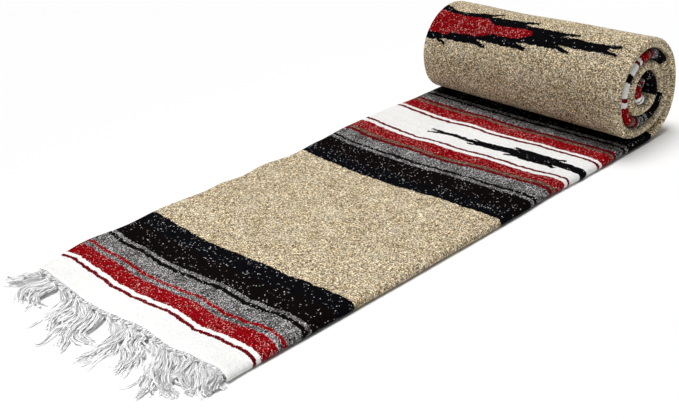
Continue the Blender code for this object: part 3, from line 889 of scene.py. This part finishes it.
def yarn_tree():
    """Geometry Nodes that lay twisted plies along guide lines, opening a little at the cut tips."""
    tree = bpy.data.node_groups.new("twisted yarns", "GeometryNodeTree")
    for name, kind in (("Geometry", "Geometry"), ("Yarn radius", "Float"), ("Twist length", "Float"),
                       ("Step", "Float"), ("Plies", "Int"), ("Material", "Material")):
        tree.interface.new_socket(name, in_out="INPUT", socket_type="NodeSocket" + kind)
    tree.interface.new_socket("Geometry", in_out="OUTPUT", socket_type="NodeSocketGeometry")
    given = tree.nodes.new("NodeGroupInput").outputs
    lines = new_node(tree, "GeometryNodeMeshToCurve", named={"Mesh": given["Geometry"]})
    even = new_node(tree, "GeometryNodeResampleCurve", mode="LENGTH",
                    named={"Curve": lines.outputs["Curve"], "Length": given["Step"]})
    plies = new_node(tree, "GeometryNodeDuplicateElements", domain="SPLINE",
                     named={"Geometry": even.outputs["Curve"], "Amount": given["Plies"]})

    # Each ply winds round the guide line, a share of a turn from the next, and opens at the tip
    reach = new_node(tree, "GeometryNodeInputNamedAttribute", data_type="FLOAT",
                     named={"Name": "reach"}).outputs["Attribute"]
    along = tree.nodes.new("GeometryNodeSplineParameter").outputs["Length"]
    turn = reckon(tree, "DIVIDE", along, given["Twist length"])
    ply_share = reckon(tree, "DIVIDE", plies.outputs["Duplicate Index"], given["Plies"])
    angle = reckon(tree, "MULTIPLY", reckon(tree, "ADD", turn, ply_share), math.tau)
    opening = reckon(tree, "MULTIPLY_ADD", reckon(tree, "POWER", reach, TIP_OPENING_POWER),
                     TIP_OPENING, PLY_SWING)
    swing = reckon(tree, "MULTIPLY", given["Yarn radius"], opening)
    normal = tree.nodes.new("GeometryNodeInputNormal").outputs[0]
    tangent = tree.nodes.new("GeometryNodeInputTangent").outputs[0]
    side = new_node(tree, "ShaderNodeVectorMath", tangent, normal, operation="CROSS_PRODUCT").outputs[0]
    moves = []
    for direction, circle in ((normal, "COSINE"), (side, "SINE")):
        share = reckon(tree, "MULTIPLY", reckon(tree, circle, angle), swing)
        moves.append(new_node(tree, "ShaderNodeVectorMath", direction, named={"Scale": share},
                              operation="SCALE").outputs[0])
    offset = new_node(tree, "ShaderNodeVectorMath", *moves, operation="ADD").outputs[0]
    twisted = new_node(tree, "GeometryNodeSetPosition",
                       named={"Geometry": plies.outputs["Geometry"], "Offset": offset})

    # A ply is thinner towards its tip
    thin = reckon(tree, "MULTIPLY_ADD", reckon(tree, "POWER", reach, TIP_THINNING_POWER),
                  -TIP_THINNING, 1.0)
    thick = new_node(tree, "GeometryNodeSetCurveRadius",
                     named={"Curve": twisted.outputs[0], "Radius": thin})
    ply_radius = reckon(tree, "MULTIPLY", given["Yarn radius"], PLY_RADIUS)
    profile = new_node(tree, "GeometryNodeCurvePrimitiveCircle", mode="RADIUS",
                       named={"Resolution": PLY_SIDES, "Radius": ply_radius})
    radius = tree.nodes.new("GeometryNodeInputRadius").outputs[0]
    solid = new_node(tree, "GeometryNodeCurveToMesh",
                     named={"Curve": thick.outputs[0], "Profile Curve": profile.outputs[0],
                            "Scale": radius, "Fill Caps": True})
    real = new_node(tree, "GeometryNodeRealizeInstances", named={"Geometry": solid.outputs[0]})
    dressed = new_node(tree, "GeometryNodeSetMaterial",
                       named={"Geometry": real.outputs[0], "Material": given["Material"]})
    new_node(tree, "NodeGroupOutput", dressed.outputs[0])
    return tree


def cotton_yarn():
    """Undyed cotton, cool white, with fine fibres and a little grey in it."""
    material, tree, shader = new_material("white_cotton", {
        "Roughness": 0.9, "Specular IOR Level": 0.1, "Subsurface Weight": 0.85,
        "Subsurface Radius": (1.0, 1.0, 1.0), "Subsurface Scale": 0.006})
    grey = (0.97, 0.97, 0.975, 1.0)
    clean = (1.0, 1.0, 1.0, 1.0)
    place = new_node(tree, "ShaderNodeTexCoord").outputs["Object"]
    fibres = new_node(tree, "ShaderNodeTexNoise", named={"Vector": place, "Scale": 900.0, "Detail": 3.0})
    soil = new_node(tree, "ShaderNodeTexNoise", named={"Vector": place, "Scale": 45.0, "Detail": 2.0})
    tones = charted_ramp(tree, fibres.outputs["Fac"], ((0.30, grey), (0.62, clean)), "EASE")
    soiled = charted_ramp(tree, soil.outputs["Fac"], ((0.35, grey), (0.60, clean)), "EASE")
    tree.links.new(mix_colours(tree, 1.0, tones.outputs["Color"], soiled.outputs["Color"], "MULTIPLY"),
                   shader.inputs["Base Color"])
    bump = new_node(tree, "ShaderNodeBump",
                    named={"Strength": 0.3, "Distance": 0.0002, "Height": fibres.outputs["Fac"]})
    tree.links.new(bump.outputs[0], shader.inputs["Normal"])
    return material


white_cotton = cotton_yarn()
twisted_yarns = yarn_tree()


def spun_yarns(name, guides):
    """Plain mesh of twisted yarns along guide lines."""
    host = guide_object(name + "_guides", guides)
    spinning = host.modifiers.new("spinning", "NODES")
    spinning.node_group = twisted_yarns
    sizes = {"Yarn radius": YARN_RADIUS, "Twist length": YARN_TWIST, "Step": YARN_STEP,
             "Plies": PLIES, "Material": white_cotton}
    for item in twisted_yarns.interface.items_tree:
        if item.in_out == "INPUT" and item.name in sizes:
            spinning[item.identifier] = sizes[item.name]
    depsgraph = bpy.context.evaluated_depsgraph_get()
    mesh = bpy.data.meshes.new_from_object(host.evaluated_get(depsgraph))
    mesh.name = name
    mesh.shade_smooth()
    bpy.data.objects.remove(host)
    return new_object(name, mesh)


near_fringe = spun_yarns("near_fringe_yarns", near_fringe_guides(random.Random(FRINGE_SEED)))
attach(near_fringe, root)
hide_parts("fringe_near")


# Far fringe
# The warp ends of the other hem, of the same cotton, left long and loose.
# They curl on inside the roll's core, where they show only from its ends.
CORE_YARNS = 56
CORE_CURL = math.radians(270.0)
CORE_CURL_SHARES = (0.75, 1.0)
CORE_STEPS = 14
CORE_DRIFT = 0.008
CORE_START = 0.08
CORE_PACKING = 0.7
CORE_LIFT = 0.0016


def far_fringe_guides(rng):
    """Middle lines of yarns that go on from the far hem along the winding, into the core."""
    half_width = RIGHT - 2.0 * OUTER_FOLD_REACH
    guides = []
    for yarn in range(CORE_YARNS):
        x = half_width * (2.0 * (yarn + 0.5) / CORE_YARNS - 1.0)
        drift = rng.uniform(-CORE_DRIFT, CORE_DRIFT)
        height = LAYER_HEIGHTS[yarn % 4] * CORE_PACKING + CORE_LIFT
        curl = CORE_CURL * rng.uniform(*CORE_CURL_SHARES)
        points = []
        for step in range(CORE_STEPS + 1):
            part = step / CORE_STEPS
            turned = ROLL_END - CORE_START + curl * part
            points.append(roll_points(x + drift * part * part, height, turned))
        guides.append(points)
    return guides


far_fringe = spun_yarns("core_fringe_yarns", far_fringe_guides(random.Random(FRINGE_SEED + 1)))
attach(far_fringe, root)
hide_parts("fringe_far")


# Stage
# A pale floor and soft studio light, with the camera at the photograph's viewing angle.
# A wide light stands overhead, a soft one in front, and a narrow one falls on the white fringe.
FLOOR_HALF = 30.0
CAMERA_PLACE = (0.8544, -0.8236, 0.5778)
CAMERA_RIGHT = (0.6984, 0.7125, -0.0678)
CAMERA_UP = (-0.2732, 0.3528, 0.8949)
CAMERA_LOOK = (-0.6615, 0.6065, -0.4410)
LENS = 60.97
SENSOR = 36.0

floor_mesh = bpy.data.meshes.new("floor")
corners = [(x * FLOOR_HALF, y * FLOOR_HALF, 0) for x, y in ((-1, -1), (1, -1), (1, 1), (-1, 1))]
floor_mesh.from_pydata(corners, [], [(0, 1, 2, 3)])
floor = new_object("floor", floor_mesh)
paper, _, _ = new_material("pale_floor", {
    "Base Color": (0.93, 0.93, 0.93, 1.0), "Roughness": 0.9, "Specular IOR Level": 0.1})
floor_mesh.materials.append(paper)


def aimed_light(name, kind, place, target, **settings):
    """A light that faces its target."""
    data = bpy.data.lights.new(name, kind)
    for setting, value in settings.items():
        setattr(data, setting, value)
    made = new_object(name, data)
    made.location = place
    direction = np.array(target, float) - np.array(place, float)
    made.rotation_euler = Vector(direction).to_track_quat("-Z", "Y").to_euler()


aimed_light("overhead", "SUN", (-0.20, 0.10, 2.2), (0.0, 0.10, 0.0), energy=2.75,
            angle=math.radians(34.0))
aimed_light("front_fill", "AREA", (1.6, -1.4, 1.3), (0.0, 0.0, 0.0), energy=0.6, size=1.4)
aimed_light("fringe_fill", "SPOT", (0.10, -1.60, 0.56), (0.0, -0.42, 0.0), energy=78.0,
            spot_size=math.radians(21.0), spot_blend=1.0, shadow_soft_size=0.20)

world = bpy.data.worlds.new("studio")
world.use_nodes = True
world.node_tree.nodes["Background"].inputs["Color"].default_value = (1.0, 1.0, 1.0, 1.0)
world.node_tree.nodes["Background"].inputs["Strength"].default_value = 0.20
bpy.context.scene.world = world
bpy.context.scene.view_settings.view_transform = "Standard"

camera_data = bpy.data.cameras.new("camera")
camera_data.lens = LENS
camera_data.sensor_width = SENSOR
camera = new_object("camera", camera_data)
turn = Matrix((CAMERA_RIGHT, CAMERA_UP, [-value for value in CAMERA_LOOK])).transposed()
camera.matrix_world = Matrix.Translation(CAMERA_PLACE) @ turn.to_4x4()
bpy.context.scene.camera = camera
